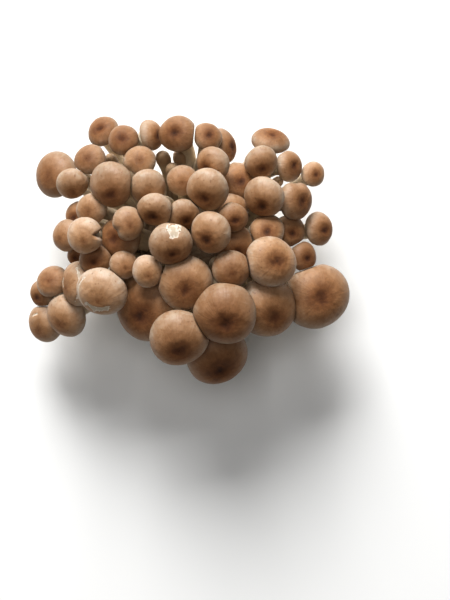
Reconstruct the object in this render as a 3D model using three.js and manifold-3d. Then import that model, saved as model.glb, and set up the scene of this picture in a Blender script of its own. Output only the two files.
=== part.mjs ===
// A young beech mushroom cluster, picked whole: one cut foot, a sheaf of fused cream stems, a brown
// dimpled cap on each, and a crust of growing medium round the foot. Millimetres, +Z up, the origin
// at the middle of the flat cut.
import * as THREE from "three";
import Module from "manifold-3d";

const wasm = await Module();
wasm.setup();

// The crown, a low dome of caps
const CROWN_HEIGHT = 53; // widest plane of the middle caps above the cut
const CROWN_FALL = 0.0075; // drop per square millimetre away from the middle
const PRESS = 0.88; // share of two caps' radii at which they press flat on each other
const SPREAD_PASSES = 40; // rounds in which crowded caps ease apart
const FULL_WIDTH = 1.07; // a cap's width over what shows of it, because it is tilted
const TUCKED_WIDTH = 0.06; // a tucked cap is this much wider than what shows, per mm of depth
const SIDE_GIVE = 0.3; // sideways share of that easing, the rest is up and down

// The caps, in cap radii
const CAP_RISE = 0.62;
const CAP_ROUNDNESS = 2.3;
const CAP_SHOULDER = 0.6;
const DIMPLE_DEPTH = 0.14;
const DIMPLE_RADIUS = 0.3;
const CAP_RINGS = [0.86, 0.6, 0.3]; // where the top is sampled, from the rim inwards
const LIP = [0.93, -0.24]; // lowest point of the inrolled rim
const LIP_INNER = [0.74, -0.14];
const UNDERSIDE = -0.1;
const OVAL = 0.05;
const THREE_LOBED = 0.02;
const NOTCH_WIDTH = 0.32; // radians, half of a notch in the rim
const CAP_SIDES = [[6.6, 8], [9.5, 10], [Infinity, 12]]; // up to this radius in mm, this many sides

// The gills, in cap radii
const GILL_REACH = 0.78;
const GILL_TOP = -0.17;
const GILL_MIDDLE = [0.5, -0.4];
const GILL_FOOT = -0.66; // how far they run down the stem
const GILL_FOOT_RADIUS = 0.3;
const GILL_CLASP = 1.1; // least radius where they meet the stem, in stem radii
const RIDGE = 0.07;

// The stems
const STEM_BASE_RADIUS = 0.9;
const STEM_SHARE = 0.27; // of the cap's radius, added to the base radius
const STEM_SWELL = 1.12; // at the root, gone halfway up
const STEM_TOP = -0.4; // where it ends inside the gills, in cap radii
const STEM_PULL = 0.4; // share of its length over which each end runs straight
const ROOT_SPREAD = 0.46; // of the cap's distance from the middle
const ROOT_HEIGHT = 5;
const CLEAR_PASSES = 8;
const ROOT_MARGIN = 5.5; // from a root's middle to the side of the foot
const HEAD_SHARE = 0.9; // of a cap's radius, which other stems bend round

// Buds that never opened, in the gaps of the sheaf: x, y and height of the tip, and widest radius
const BUDS = [
  [-9.5, 35, 36, 2.7],
  [-5.5, 30, 39, 3],
  [-3.5, 35.5, 34, 2.5],
  [-29, 34.5, 33, 2.3],
  [17, 31, 36, 2.2],
  [33, 26, 35, 2.2],
];
const BUD_SIDES = 6;
const BUD_PROFILE = [[0, 1.1], [0.4, 0.85], [0.74, 0.7], [0.84, 1], [0.94, 0.85]]; // along it, radius

// The foot and the crust of growing medium
const FOOT_RADIUS = 26;
const FOOT_PROFILE = [[0.95, 0], [1, 2.5], [0.97, 7], [0.86, 12], [0.74, 19], [0.55, 26]]; // share, height
const FOOT_TOP = 28;
const FOOT_SIDES = 20;
const FOOT_LUMPS = [[0.05, 3, 0.7], [0.03, 7, 0]]; // share of the radius, number round it, turn
const CRUST_SEED = 5;
const CRUST_FROM = 2.6; // radians round the foot
const CRUST_TO = 5.2;
const CRUST_STEPS = 16;
const CRUST_LOW = 1.2;
const CRUST_HIGH = 5.5;
const CRUST_EDGE = 0.7; // least thickness at its edges
const CRUST_MIDDLE = 1;
const CRUST_LUMPS = 1.6;
const CRUST_RAGGED = 2.5; // how unevenly high it reaches
const CRUST_BEVEL = 0.5;
const CRUST_CLEAR = 0.8; // from the foot's curve, whose facets bulge past it

const GAP = 0.3; // left between touching pieces
const OUTER_REACH = 45; // caps further out than this show their gills and stems
const OUTER_SIDES = { gills: 12, stem: 6, steps: 5 };
const INNER_SIDES = { gills: 4, stem: 4, steps: 3 };

// Each cap as seen from above: x, y, width that shows, depth below the dome, and the sideways share
// of the direction that it faces, in x and in y. Bean-shaped and split caps go on with the angle of
// the notch in their rim, in radians, and its depth in cap radii.
const CAPS = [
  [-48.5, 28.5, 15, 1, -0.5, 0.1],
  [-42.5, 25, 10.4, 1, 0.1, -0.5],
  [-35.7, 33.5, 11, 0, -0.3, 0.35],
  [-22.5, 40.5, 10.8, 0, -0.15, 0.4],
  [-14.2, 42, 9.8, 2, 0.85, 0.2],
  [-3, 42, 12.8, -1, -0.3, 0.1],
  [7.4, 40.7, 9, 2, 0.15, 0.45],
  [11.7, 39, 9.4, 5, 0.88, 0.2],
  [-17.3, 32.4, 9.8, 2, 0, 0.35, -2.2, 0.16],
  [-27, 23, 15.2, -2, -0.33, -0.2],
  [-14.4, 22.2, 11.6, 1, 0.1, -0.5],
  [-1.5, 24.8, 9.4, 2, 0, 0.1],
  [9, 31, 11.4, 0, -0.33, -0.2],
  [6.5, 21, 14.4, -2, -0.27, -0.45],
  [-12, 14, 11.8, -1, -0.2, -0.5],
  [-1, 13, 10.2, 1, 0.22, -0.5],
  [-20, 9.7, 11, -1.5, 0.2, 0.1, -2.5, 0.2],
  [-34.3, 15.5, 10.2, 1, -0.35, 0],
  [-25.6, 4, 11.4, 4.5, -0.38, 0],
  [-35, 4, 12, -2, -0.1, -0.1, 0.06, 0.5],
  [-43, 6, 9.8, 2, -0.6, 0],
  [-5, 0.4, 14.2, -2, 0.05, -0.35],
  [9, 6.5, 13.8, -2, -0.35, -0.28],
  [-40, -2, 6.4, 4, -0.4, -0.1],
  [-22.8, -5.2, 8.6, 2, 0.2, 0],
  [-13.5, -8, 10, 1, 0.1, -0.1],
  [26, 31.7, 11.2, 0, 0.11, -0.4],
  [29.8, 40.2, 12, 1, 0.15, 0.82],
  [36.6, 31, 9.8, 1, 0.6, -0.1],
  [45.5, 28.6, 8.2, 1, 0.35, 0.2],
  [27, 19, 14, -1, -0.4, -0.4],
  [38.5, 17.5, 13.2, 0, 0.65, -0.1, 1.6, 0.12],
  [17.5, 23, 9.2, 7, 0.2, 0.3],
  [16, 16.5, 8.4, 7, 0.3, 0],
  [15.5, 12, 8.4, 3, 0.2, -0.1],
  [47.5, 8.5, 9.6, 3, 0.6, 0.1],
  [35.5, 8, 9, 4, 0.3, 0.1],
  [29.2, -3.9, 17, -2, 0.22, 0],
  [42, -2.5, 8, 4, 0.5, 0.1],
  [46, -15.3, 22.4, 0, 0.2, 0.05],
  [-30.8, -13.8, 16.6, -1, -0.2, -0.3],
  [-39, -10.5, 13.8, 2, -0.85, 0],
  [-49.2, -11.4, 9.6, 3, -0.3, 0.4],
  [-54, -15, 7.8, 4, -0.6, -0.2],
  [-43.8, -20.2, 14, 1, -0.45, -0.3],
  [-53.3, -25.8, 11, 4, -0.55, -0.25],
  [15.5, -6.6, 12.6, 0, 0.1, -0.05],
  [17, 1.5, 10, 6, 0.2, -0.2],
  [29.5, 6.5, 9.6, 4, 0, 0.3],
  [-35, -4, 9, 3, -0.1, 0],
  [-40.2, 12.2, 8, 4, -0.5, 0.1],
  [-31.5, 44.5, 10, 2, -0.3, 0.5],
];

// The rest of the crown, larger caps set by a rule where the visible ones leave room
const FILL_SEED = 23;
const FILL_COUNT = 6;
const FILL_TRIES = 600; // places tried for each, of which the most central free one is taken
const FILL_ACROSS = [17, 21];
const FILL_HALF_WIDTH = 48;
const FILL_FRONT = -2;
const FILL_SPACING = 0.78; // share of two radii that they keep
const FILL_LEAN = 0.012; // sideways facing per millimetre from the middle
const FILL_TILT = 0.5; // range of the chance part of that facing
const FILL_DEEP = [-3, 6]; // depth below the dome

const CREAM = new THREE.MeshStandardMaterial({ color: 0xe6dcc6, roughness: 0.6, metalness: 0 });
const MEDIUM = new THREE.MeshStandardMaterial({ color: 0x3b2c22, roughness: 0.95, metalness: 0 });
const CAP_BROWNS = [0xa6805c, 0x93694a, 0xb48e6a, 0x86603f];

// A repeatable stream of numbers from 0 to 1
function seededStream(seed) {
  let state = seed;
  return () => {
    state = (state * 1664525 + 1013904223) % 4294967296;
    return state / 4294967296;
  };
}

// Fills the free part of the crown with larger caps, from the middle outwards
function fillCaps(placed) {
  const draw = seededStream(FILL_SEED);
  const all = [...placed];
  for (let count = 0; count < FILL_COUNT; count++) {
    const across = FILL_ACROSS[0] + (FILL_ACROSS[1] - FILL_ACROSS[0]) * draw();
    const deep = FILL_DEEP[0] + (FILL_DEEP[1] - FILL_DEEP[0]) * draw();
    const tiltX = FILL_TILT * (draw() - 0.5);
    const tiltY = FILL_TILT * (draw() - 0.5);
    let best = null;
    let nearest = FILL_HALF_WIDTH;
    for (let attempt = 0; attempt < FILL_TRIES; attempt++) {
      const x = (2 * draw() - 1) * FILL_HALF_WIDTH;
      const y = FILL_FRONT - FILL_HALF_WIDTH * draw();
      const distance = Math.hypot(x, y);
      const free = all.every(
        (cap) => Math.hypot(cap[0] - x, cap[1] - y) > (FILL_SPACING * (cap[2] + across)) / 2,
      );
      if (!free || distance >= nearest) continue;
      nearest = distance;
      best = [x, y, across, deep, x * FILL_LEAN + tiltX, y * FILL_LEAN + tiltY];
    }
    if (best) all.push(best);
  }
  return all;
}

// Height of a cap's top above its widest plane, both in cap radii
function capTop(r) {
  const dome = CAP_RISE * (1 - r ** CAP_ROUNDNESS) ** CAP_SHOULDER;
  return dome - DIMPLE_DEPTH * Math.exp(-((r / DIMPLE_RADIUS) ** 2));
}

const CAP_PROFILE = [LIP_INNER, LIP, [1, 0], ...CAP_RINGS.map((r) => [r, capTop(r)])];
const HEAD_OUTLINE = [
  ...CAP_PROFILE,
  [GILL_MIDDLE[0], GILL_MIDDLE[1] - RIDGE],
  [GILL_FOOT_RADIUS, GILL_FOOT],
];

// One head from its row: where it sits, which way it faces, its frame and its own slight wobble
function makeHead(row, index) {
  const [x, y, shows, deep, leanX, leanY, notchAt = 0, notch = 0] = row;
  const draw = seededStream(index + 1);
  draw();
  const radius = (shows / 2) * FULL_WIDTH * (1 + TUCKED_WIDTH * Math.max(0, deep));
  const height = CROWN_HEIGHT - CROWN_FALL * (x * x + y * y) - deep;
  const axis = new THREE.Vector3(leanX, leanY, Math.sqrt(1 - leanX * leanX - leanY * leanY));
  const side = new THREE.Vector3(1, 0, 0).addScaledVector(axis, -axis.x).normalize();
  return {
    radius,
    centre: new THREE.Vector3(x, y, height),
    axis,
    side,
    front: axis.clone().cross(side),
    oval: OVAL * draw(),
    ovalTurn: Math.PI * draw(),
    lobes: THREE_LOBED * draw(),
    lobeTurn: Math.PI * draw(),
    notchAt,
    notch,
    stemRadius: STEM_BASE_RADIUS + STEM_SHARE * radius,
    sides: Math.hypot(x, y) > OUTER_REACH ? OUTER_SIDES : INNER_SIDES,
  };
}

// Crowded caps ease apart until they only press on each other
function easeApart(heads) {
  const away = new THREE.Vector3();
  for (let pass = 0; pass < SPREAD_PASSES; pass++) {
    for (let i = 0; i < heads.length; i++) {
      for (let j = i + 1; j < heads.length; j++) {
        away.subVectors(heads[j].centre, heads[i].centre);
        const distance = away.length();
        const wanted = PRESS * (heads[i].radius + heads[j].radius);
        if (distance >= wanted) continue;
        away.multiplyScalar((wanted - distance) / distance / 2);
        away.x *= SIDE_GIVE;
        away.y *= SIDE_GIVE;
        heads[i].centre.sub(away);
        heads[j].centre.add(away);
      }
    }
  }
}

// How far a head reaches from its centre in one direction
function reach(head, direction) {
  const along = head.axis.dot(direction);
  const across = Math.sqrt(Math.max(0, 1 - along * along));
  return head.radius * Math.max(...HEAD_OUTLINE.map(([r, z]) => z * along + r * across));
}

// The planes at which a head is pressed flat by its neighbours
function pressPlanes(head, heads) {
  const planes = [];
  for (const other of heads) {
    if (other === head) continue;
    const towards = other.centre.clone().sub(head.centre);
    const distance = towards.length();
    towards.normalize();
    const mine = reach(head, towards);
    const theirs = reach(other, towards.clone().negate());
    if (mine + theirs + GAP <= distance) continue;
    const share = (distance * mine) / (mine + theirs) - GAP / 2;
    planes.push({ normal: towards, offset: towards.dot(head.centre) + share });
  }
  return planes;
}

// The curve from the foot up to a point, upright at the root and along an axis at its top
function growthCurve(top, axis) {
  const root = new THREE.Vector3(top.x, top.y, 0)
    .multiplyScalar(ROOT_SPREAD)
    .clampLength(0, FOOT_RADIUS - ROOT_MARGIN)
    .setZ(ROOT_HEIGHT);
  const pull = STEM_PULL * top.distanceTo(root);
  return new THREE.CubicBezierCurve3(
    root,
    root.clone().add(new THREE.Vector3(0, 0, pull)),
    top.clone().addScaledVector(axis, -pull),
    top,
  );
}

// A stem's route from the foot to its cap, bent round the other heads
function stemRoute(head, heads, steps) {
  const top = head.centre.clone().addScaledVector(head.axis, STEM_TOP * head.radius);
  const points = growthCurve(top, head.axis).getPoints(steps);
  for (let pass = 0; pass < CLEAR_PASSES; pass++) {
    for (let k = 1; k < steps; k++) {
      for (const other of heads) {
        if (other === head) continue;
        const away = points[k].clone().sub(other.centre);
        const wanted = HEAD_SHARE * other.radius + head.stemRadius + GAP;
        const distance = away.length();
        if (distance < wanted) points[k].addScaledVector(away, wanted / distance - 1);
      }
    }
  }
  return points;
}

// A closed solid from rings of points, run from one end's middle to the other's
function solidFromRings(first, rings, last) {
  const sides = rings[0].length;
  const positions = [first, ...rings.flat(), last].flatMap((p) => [p.x, p.y, p.z]);
  const at = (ring, k) => 1 + ring * sides + (k % sides);
  const end = 1 + rings.length * sides;
  const triangles = [];
  for (let k = 0; k < sides; k++) {
    triangles.push(0, at(0, k + 1), at(0, k));
    for (let ring = 0; ring + 1 < rings.length; ring++) {
      triangles.push(at(ring, k), at(ring, k + 1), at(ring + 1, k + 1));
      triangles.push(at(ring, k), at(ring + 1, k + 1), at(ring + 1, k));
    }
    triangles.push(end, at(rings.length - 1, k), at(rings.length - 1, k + 1));
  }
  return new wasm.Manifold(new wasm.Mesh({
    numProp: 3,
    vertProperties: new Float32Array(positions),
    triVerts: new Uint32Array(triangles),
  }));
}

// A point of a head, from its radius, height and angle in cap radii and radians
function headPoint(head, r, z, angle) {
  return head.centre.clone()
    .addScaledVector(head.axis, z)
    .addScaledVector(head.side, r * Math.cos(angle))
    .addScaledVector(head.front, r * Math.sin(angle));
}

// How wide a cap is at an angle, as a share of its radius
function rimShare(head, angle) {
  const fromNotch = Math.atan2(Math.sin(angle - head.notchAt), Math.cos(angle - head.notchAt));
  return 1 + head.oval * Math.cos(2 * (angle - head.ovalTurn))
    + head.lobes * Math.cos(3 * (angle - head.lobeTurn))
    - head.notch * Math.exp(-((fromNotch / NOTCH_WIDTH) ** 2));
}

function capSides(radius) {
  return CAP_SIDES.find(([limit]) => radius < limit)[1];
}

// A cap: dimpled, domed, its rim rolled in, flat underneath
function capSolid(head) {
  const sides = capSides(head.radius);
  const rings = CAP_PROFILE.map(([r, z]) => {
    const ring = [];
    for (let k = 0; k < sides; k++) {
      const angle = (2 * Math.PI * k) / sides;
      ring.push(headPoint(head, head.radius * r * rimShare(head, angle), head.radius * z, angle));
    }
    return ring;
  });
  const under = headPoint(head, 0, head.radius * UNDERSIDE, 0);
  const dimple = headPoint(head, 0, head.radius * capTop(0), 0);
  return solidFromRings(under, rings, dimple);
}

// The gills under a cap: ridges that run out from the stem, and a little way down it
function gillSolid(head) {
  const sides = head.sides.gills;
  const { radius, stemRadius } = head;
  const ringAt = (r, z, ridge) => {
    const ring = [];
    for (let k = 0; k < sides; k++) {
      const angle = (2 * Math.PI * k) / sides;
      const drop = k % 2 ? ridge : 0;
      ring.push(headPoint(head, r * Math.min(1, rimShare(head, angle)), z - drop, angle));
    }
    return ring;
  };
  const top = radius * GILL_TOP - GAP;
  const middle = Math.max(radius * GILL_MIDDLE[0], stemRadius * GILL_CLASP);
  const rings = [
    ringAt(stemRadius, radius * GILL_FOOT, 0),
    ringAt(middle, radius * GILL_MIDDLE[1], radius * RIDGE),
    ringAt(radius * GILL_REACH, top, radius * RIDGE),
  ];
  return solidFromRings(headPoint(head, 0, radius * GILL_FOOT, 0), rings, headPoint(head, 0, top, 0));
}

// A round tube along a route, with a radius at each point, closed at its tip
function tubeSolid(points, radii, sides, tip = points[points.length - 1]) {
  const rings = points.map((point, i) => {
    const before = points[Math.max(0, i - 1)];
    const after = points[Math.min(points.length - 1, i + 1)];
    const along = after.clone().sub(before).normalize();
    const side = new THREE.Vector3(1, 0, 0).addScaledVector(along, -along.x).normalize();
    const front = along.clone().cross(side);
    const ring = [];
    for (let k = 0; k < sides; k++) {
      const angle = (2 * Math.PI * k) / sides;
      ring.push(point.clone()
        .addScaledVector(side, radii[i] * Math.cos(angle))
        .addScaledVector(front, radii[i] * Math.sin(angle)));
    }
    return ring;
  });
  return solidFromRings(points[0], rings, tip);
}

function stemSolid(head, extra) {
  const radii = head.route.map((_, i) => {
    const rise = i / (head.route.length - 1);
    return head.stemRadius * (STEM_SWELL + (1 - STEM_SWELL) * Math.min(1, 2 * rise)) + extra;
  });
  return tubeSolid(head.route, radii, head.sides.stem);
}

// A closed bud on its own thin stem
function budSolid([x, y, tip, radius], extra) {
  const top = new THREE.Vector3(x, y, tip);
  const curve = growthCurve(top, new THREE.Vector3(0, 0, 1));
  const points = BUD_PROFILE.map(([along]) => curve.getPoint(along));
  const radii = BUD_PROFILE.map(([, share]) => radius * share + extra);
  return tubeSolid(points, radii, BUD_SIDES, top);
}

// Width of the foot at an angle and height
function footRadius(angle, height) {
  const upper = Math.max(1, FOOT_PROFILE.findIndex(([, z]) => z >= height));
  const [r0, z0] = FOOT_PROFILE[upper - 1];
  const [r1, z1] = FOOT_PROFILE[upper];
  const share = r0 + ((r1 - r0) * (height - z0)) / (z1 - z0);
  let lumps = 1;
  for (const [size, count, turn] of FOOT_LUMPS) lumps += size * Math.sin(count * angle + turn);
  return FOOT_RADIUS * share * lumps;
}

function roundPoint(radius, angle, height) {
  return new THREE.Vector3(radius * Math.cos(angle), radius * Math.sin(angle), height);
}

// The foot, where all the stems grow together, cut flat below
function footSolid() {
  const rings = FOOT_PROFILE.map(([, height]) => {
    const ring = [];
    for (let k = 0; k < FOOT_SIDES; k++) {
      const angle = (2 * Math.PI * k) / FOOT_SIDES;
      ring.push(roundPoint(footRadius(angle, height), angle, height));
    }
    return ring;
  });
  return solidFromRings(new THREE.Vector3(0, 0, 0), rings, new THREE.Vector3(0, 0, FOOT_TOP));
}

// The crust of growing medium, a lumpy band that clings to part of the foot
function crustSolid() {
  const draw = seededStream(CRUST_SEED);
  const rings = [];
  for (let step = 0; step <= CRUST_STEPS; step++) {
    const angle = CRUST_TO + ((CRUST_FROM - CRUST_TO) * step) / CRUST_STEPS;
    const low = CRUST_LOW + draw();
    const high = CRUST_HIGH + CRUST_RAGGED * draw();
    const middle = (low + high) / 2;
    const on = (height, out) => roundPoint(footRadius(angle, height) + CRUST_CLEAR + out, angle, height);
    rings.push([
      on(low, 0),
      on(low + CRUST_BEVEL, CRUST_EDGE + draw()),
      on(middle, CRUST_MIDDLE + CRUST_LUMPS * draw()),
      on(high - CRUST_BEVEL, CRUST_EDGE + draw()),
      on(high, 0),
      on(middle, 0),
    ]);
  }
  const middleOf = (ring) => ring.reduce((sum, p) => sum.add(p), new THREE.Vector3())
    .multiplyScalar(1 / ring.length);
  return solidFromRings(middleOf(rings[0]), rings, middleOf(rings[rings.length - 1]));
}

function pressed(solid, planes) {
  let kept = solid;
  for (const { normal, offset } of planes) {
    kept = kept.trimByPlane([-normal.x, -normal.y, -normal.z], -offset);
  }
  return kept;
}

function meshOf(name, solid, material) {
  const { vertProperties, triVerts } = solid.getMesh();
  const geometry = new THREE.BufferGeometry();
  geometry.setAttribute("position", new THREE.BufferAttribute(new Float32Array(vertProperties), 3));
  geometry.setIndex([...triVerts]);
  const mesh = new THREE.Mesh(geometry, material);
  mesh.name = name;
  return mesh;
}

const heads = fillCaps(CAPS).map(makeHead);
easeApart(heads);
for (const head of heads) {
  head.planes = pressPlanes(head, heads);
  head.route = stemRoute(head, heads, head.sides.steps);
}

const group = new THREE.Group();
group.name = "beech_mushroom_cluster";

let cream = footSolid();
for (const head of heads) {
  cream = cream.add(stemSolid(head, 0)).add(pressed(gillSolid(head), head.planes));
}
for (const bud of BUDS) cream = cream.add(budSolid(bud, 0));
group.add(meshOf("stems_foot_and_gills", cream, CREAM));

heads.forEach((head, index) => {
  let cap = pressed(capSolid(head), head.planes);
  for (const other of heads) {
    if (other !== head) cap = cap.subtract(stemSolid(other, GAP));
  }
  for (const bud of BUDS) cap = cap.subtract(budSolid(bud, GAP));
  const name = `cap_${String(index + 1).padStart(2, "0")}`;
  const material = new THREE.MeshStandardMaterial({
    color: CAP_BROWNS[index % CAP_BROWNS.length],
    roughness: 0.45,
    metalness: 0,
  });
  group.add(meshOf(name, cap, material));
});

let crust = crustSolid();
for (const head of heads) crust = crust.subtract(stemSolid(head, GAP));
group.add(meshOf("growing_medium_crust", crust, MEDIUM));

export default group;
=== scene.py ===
# %% [markdown]
# # A young beech mushroom cluster
# One bunch of young mushrooms, as it is picked: a cut foot, cream stems that fan out of it, and a
# brown cap with a dimple on each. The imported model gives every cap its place. This script follows
# the same rule of growth in millimetres, and makes the fine surfaces from it.

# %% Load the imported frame
import math

import bpy
import numpy as np
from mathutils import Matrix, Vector
from numpy.linalg import norm


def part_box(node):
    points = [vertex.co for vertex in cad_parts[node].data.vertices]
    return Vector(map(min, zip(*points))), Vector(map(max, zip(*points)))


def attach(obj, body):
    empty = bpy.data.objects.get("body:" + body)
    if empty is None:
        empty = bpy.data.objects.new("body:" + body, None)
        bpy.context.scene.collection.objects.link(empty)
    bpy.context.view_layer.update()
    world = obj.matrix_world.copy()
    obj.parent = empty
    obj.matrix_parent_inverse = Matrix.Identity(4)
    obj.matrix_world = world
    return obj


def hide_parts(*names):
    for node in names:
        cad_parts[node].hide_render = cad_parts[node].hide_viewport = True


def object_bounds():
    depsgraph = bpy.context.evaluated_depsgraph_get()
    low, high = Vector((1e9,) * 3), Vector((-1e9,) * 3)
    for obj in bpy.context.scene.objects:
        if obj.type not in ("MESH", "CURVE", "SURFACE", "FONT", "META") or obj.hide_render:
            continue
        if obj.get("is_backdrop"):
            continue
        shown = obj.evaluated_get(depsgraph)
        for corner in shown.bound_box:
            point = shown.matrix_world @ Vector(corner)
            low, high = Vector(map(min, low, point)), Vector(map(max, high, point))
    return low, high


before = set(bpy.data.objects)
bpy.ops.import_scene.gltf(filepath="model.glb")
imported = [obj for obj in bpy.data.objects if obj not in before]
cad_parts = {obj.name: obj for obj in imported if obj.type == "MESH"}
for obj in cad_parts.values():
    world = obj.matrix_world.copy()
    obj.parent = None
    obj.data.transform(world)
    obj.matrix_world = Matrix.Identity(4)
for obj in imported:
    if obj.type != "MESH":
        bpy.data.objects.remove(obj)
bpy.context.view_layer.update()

MM = 0.001

# %% [markdown]
# ## The camera
# The bunch is seen straight from above, at its real scale. A long lens from half a metre away keeps
# the caps at the edge nearly as flat as those in the middle. The view is centred to the right of the
# bunch and in front of it, which leaves clear floor on those sides.

# %% Set up the camera
VIEW_CENTRE = (13.3, -17.5)  # mm, what the middle of the picture looks at
VIEW_HEIGHT = 53  # mm, the height that is in scale
VIEW_DISTANCE = 500  # mm
PICTURE_LONG_SIDE = 600 * 0.35  # pixels times mm a pixel
SENSOR = 36

scene = bpy.context.scene
camera_data = bpy.data.cameras.new("camera")
camera_data.sensor_width = SENSOR
camera_data.lens = SENSOR * VIEW_DISTANCE / PICTURE_LONG_SIDE
camera = bpy.data.objects.new("camera", camera_data)
camera.location = (VIEW_CENTRE[0] * MM, VIEW_CENTRE[1] * MM, (VIEW_HEIGHT + VIEW_DISTANCE) * MM)
scene.collection.objects.link(camera)
scene.camera = camera
print("lens", round(camera_data.lens, 1), "mm")

# %% [markdown]
# ## Floor and light
# A pale floor, two large soft lamps and a dim sky. The strong lamp stands behind the bunch, like a
# window, and the weak one hangs above it. Rounded caps read as round when one side is clearly
# brighter than the other, so the window does most of the work.

# %% Make the floor and the light
FLOOR_SIZE = 3.0  # metres
floor_mesh = bpy.data.meshes.new("floor")
half = FLOOR_SIZE / 2
floor_mesh.from_pydata(
    [(-half, -half, 0), (half, -half, 0), (half, half, 0), (-half, half, 0)], [], [(0, 1, 2, 3)]
)
floor = bpy.data.objects.new("floor", floor_mesh)
scene.collection.objects.link(floor)
floor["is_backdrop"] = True
floor_material = bpy.data.materials.new("pale_floor")
floor_material.use_nodes = True
floor_shader = floor_material.node_tree.nodes["Principled BSDF"]
floor_shader.inputs["Base Color"].default_value = (0.86, 0.86, 0.85, 1)
floor_shader.inputs["Roughness"].default_value = 0.7
floor_mesh.materials.append(floor_material)


def add_lamp(name, place, size, power):
    """A square soft lamp that faces the crown."""
    data = bpy.data.lights.new(name, "AREA")
    data.size = size
    data.energy = power
    lamp = bpy.data.objects.new(name, data)
    lamp.location = place
    aim = Vector((0, 0, VIEW_HEIGHT * MM)) - Vector(place)
    lamp.rotation_euler = aim.to_track_quat("-Z", "Y").to_euler()
    scene.collection.objects.link(lamp)


add_lamp("window", place=(-0.25, 1.3, 0.95), size=0.8, power=40)
add_lamp("ceiling", place=(-0.2, 0.1, 1.7), size=0.9, power=7)
world = bpy.data.worlds.new("soft_sky")
world.use_nodes = True
world.node_tree.nodes["Background"].inputs["Color"].default_value = (1, 1, 1, 1)
world.node_tree.nodes["Background"].inputs["Strength"].default_value = 0.08
scene.world = world
view = scene.view_settings
view.view_transform = "Standard"
view.look = "Medium High Contrast"
print("floor, 2 lamps and a sky")

# %% [markdown]
# ## How the bunch grew
# Each row is one cap as it is seen from above: its place, the width that shows, how deep it is
# tucked under the dome of the crown, and how far it faces to the right and to the back. Four rows end
# with the angle and the depth of a notch in the rim.

# %% The caps, seen from above, in millimetres
CAPS = [
    (-48.5, 28.5, 15, 1, -0.5, 0.1),
    (-42.5, 25, 10.4, 1, 0.1, -0.5),
    (-35.7, 33.5, 11, 0, -0.3, 0.35),
    (-22.5, 40.5, 10.8, 0, -0.15, 0.4),
    (-14.2, 42, 9.8, 2, 0.85, 0.2),
    (-3, 42, 12.8, -1, -0.3, 0.1),
    (7.4, 40.7, 9, 2, 0.15, 0.45),
    (11.7, 39, 9.4, 5, 0.88, 0.2),
    (-17.3, 32.4, 9.8, 2, 0, 0.35, -2.2, 0.16),
    (-27, 23, 15.2, -2, -0.33, -0.2),
    (-14.4, 22.2, 11.6, 1, 0.1, -0.5),
    (-1.5, 24.8, 9.4, 2, 0, 0.1),
    (9, 31, 11.4, 0, -0.33, -0.2),
    (6.5, 21, 14.4, -2, -0.27, -0.45),
    (-12, 14, 11.8, -1, -0.2, -0.5),
    (-1, 13, 10.2, 1, 0.22, -0.5),
    (-20, 9.7, 11, -1.5, 0.2, 0.1, -2.5, 0.2),
    (-34.3, 15.5, 10.2, 1, -0.35, 0),
    (-25.6, 4, 11.4, 4.5, -0.38, 0),
    (-35, 4, 12, -2, -0.1, -0.1, 0.06, 0.5),
    (-43, 6, 9.8, 2, -0.6, 0),
    (-5, 0.4, 14.2, -2, 0.05, -0.35),
    (9, 6.5, 13.8, -2, -0.35, -0.28),
    (-40, -2, 6.4, 4, -0.4, -0.1),
    (-22.8, -5.2, 8.6, 2, 0.2, 0),
    (-13.5, -8, 10, 1, 0.1, -0.1),
    (26, 31.7, 11.2, 0, 0.11, -0.4),
    (29.8, 40.2, 12, 1, 0.15, 0.82),
    (36.6, 31, 9.8, 1, 0.6, -0.1),
    (45.5, 28.6, 8.2, 1, 0.35, 0.2),
    (27, 19, 14, -1, -0.4, -0.4),
    (38.5, 17.5, 13.2, 0, 0.65, -0.1, 1.6, 0.12),
    (17.5, 23, 9.2, 7, 0.2, 0.3),
    (16, 16.5, 8.4, 7, 0.3, 0),
    (15.5, 12, 8.4, 3, 0.2, -0.1),
    (47.5, 8.5, 9.6, 3, 0.6, 0.1),
    (35.5, 8, 9, 4, 0.3, 0.1),
    (29.2, -3.9, 17, -2, 0.22, 0),
    (42, -2.5, 8, 4, 0.5, 0.1),
    (46, -15.3, 22.4, 0, 0.2, 0.05),
    (-30.8, -13.8, 16.6, -1, -0.2, -0.3),
    (-39, -10.5, 13.8, 2, -0.85, 0),
    (-49.2, -11.4, 9.6, 3, -0.3, 0.4),
    (-54, -15, 7.8, 4, -0.6, -0.2),
    (-43.8, -20.2, 14, 1, -0.45, -0.3),
    (-53.3, -25.8, 11, 4, -0.55, -0.25),
    (15.5, -6.6, 12.6, 0, 0.1, -0.05),
    (17, 1.5, 10, 6, 0.2, -0.2),
    (29.5, 6.5, 9.6, 4, 0, 0.3),
    (-35, -4, 9, 3, -0.1, 0),
    (-40.2, 12.2, 8, 4, -0.5, 0.1),
    (-31.5, 44.5, 10, 2, -0.3, 0.5),
]
print(len(CAPS), "caps by hand")

# %% [markdown]
# The caps at the front are larger and much alike, so a rule places them: it draws a size and a lean,
# and looks for the place nearest to the middle that leaves the other caps their room. The draw is
# seeded, so the bunch comes out the same each time.

# %% Fill the front of the crown with larger caps
FILL_SEED = 23
FILL_COUNT = 6
FILL_TRIES = 600
FILL_ACROSS = (17, 21)  # mm
FILL_HALF_WIDTH = 48
FILL_FRONT = -2
FILL_SPACING = 0.78  # least distance of two centres, as a share of both radii
FILL_LEAN = 0.012
FILL_TILT = 0.5
FILL_DEEP = (-3, 6)


def seeded_stream(seed):
    """A repeatable stream of numbers from 0 to 1."""
    state = seed

    def draw():
        nonlocal state
        state = (state * 1664525 + 1013904223) % 4294967296
        return state / 4294967296

    return draw


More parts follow.
